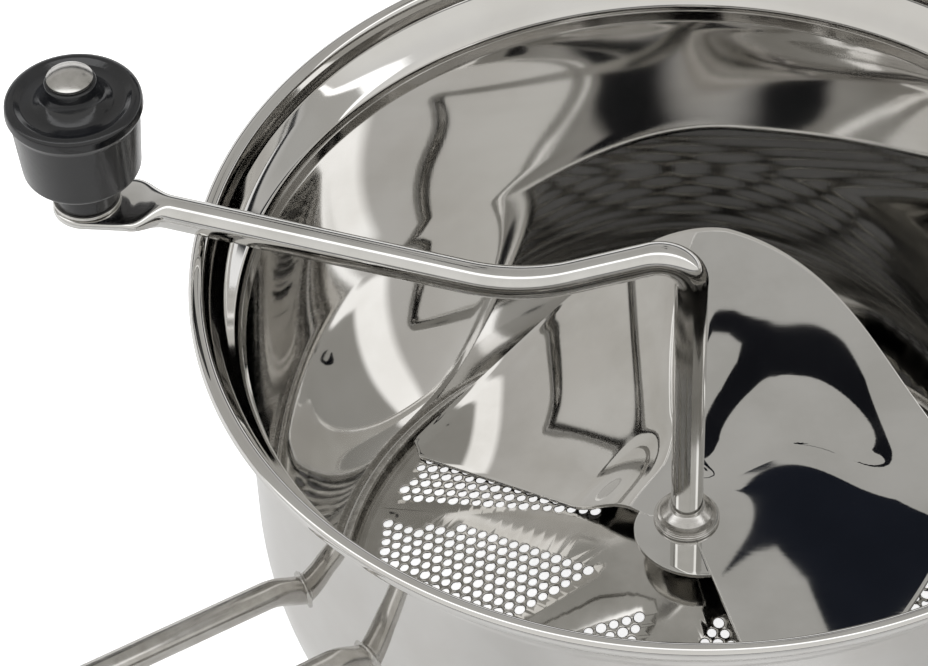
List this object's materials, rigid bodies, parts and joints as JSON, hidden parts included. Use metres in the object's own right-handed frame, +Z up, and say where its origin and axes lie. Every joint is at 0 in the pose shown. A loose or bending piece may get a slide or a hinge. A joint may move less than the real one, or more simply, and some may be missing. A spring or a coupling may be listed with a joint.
{
  "type": "food mill",
  "caption": "Stainless rotary food mill: pan with perforated strainer bottom, hand crank with black knob, sprung pressing paddle, wire handle and two pot hooks",
  "frame": {"origin": "on the crank axis, in the middle of the pan's straight wall, the plane where it sits in a pot's mouth", "axes": "+Z up along the crank axis out of the pan, the crank arm at rest points towards -X, the handle towards -X -Y"},
  "size_m": [0.3029, 0.2779, 0.1508],
  "materials": {
    "pan_steel": "polished stainless steel sheet",
    "paddle_steel": "mirror polished stainless steel sheet",
    "rod_steel": "polished stainless steel rod",
    "wire_steel": "satin stainless steel wire",
    "weld_steel": "cleaned weld bead",
    "fitting_steel": "turned and pressed stainless steel",
    "spring_steel": "drawn spring wire",
    "knob_black": "moulded black plastic, satin gloss"
  },
  "bodies": {
    "pan_body": {"pan": "pan_steel", "strainer": "pan_steel", "strainer_seam": "weld_steel", "shaft_bushing": "fitting_steel", "bushing_washer": "fitting_steel", "handle_loop": "wire_steel", "handle_weld_left": "weld_steel", "handle_weld_right": "weld_steel", "pot_hook_back": "wire_steel", "pot_hook_side": "wire_steel", "hook_welds_back": "weld_steel", "hook_welds_side": "weld_steel", "cup_washer": "fitting_steel", "spring": "spring_steel"},
    "lift_body": {"spring_washer": "fitting_steel"},
    "crank_body": {"paddle": "paddle_steel", "paddle_collar": "paddle_steel", "crank_rod": "rod_steel", "knob_stud": "rod_steel", "knob_washer": "rod_steel", "stud_washer": "rod_steel", "wing_nut": "fitting_steel"},
    "knob_body": {"knob": "knob_black"}
  },
  "joints": [
    {"name": "paddle_lift", "type": "slide", "parent": "pan_body", "child": "lift_body", "axis": [0, 0, 1], "range_m": [0, 0.0012], "stiffness_N_per_m": 1100, "springref_m": -0.004, "deforming": ["spring"]},
    {"name": "crank_turn", "type": "hinge", "parent": "lift_body", "child": "crank_body", "pos_m": [0, 0, 0], "axis": [0, 0, 1], "continuous": true},
    {"name": "knob_spin", "type": "hinge", "parent": "crank_body", "child": "knob_body", "pos_m": [-0.12642, 0.00441, 0.08], "axis": [0, 0, 1], "continuous": true}
  ]
}
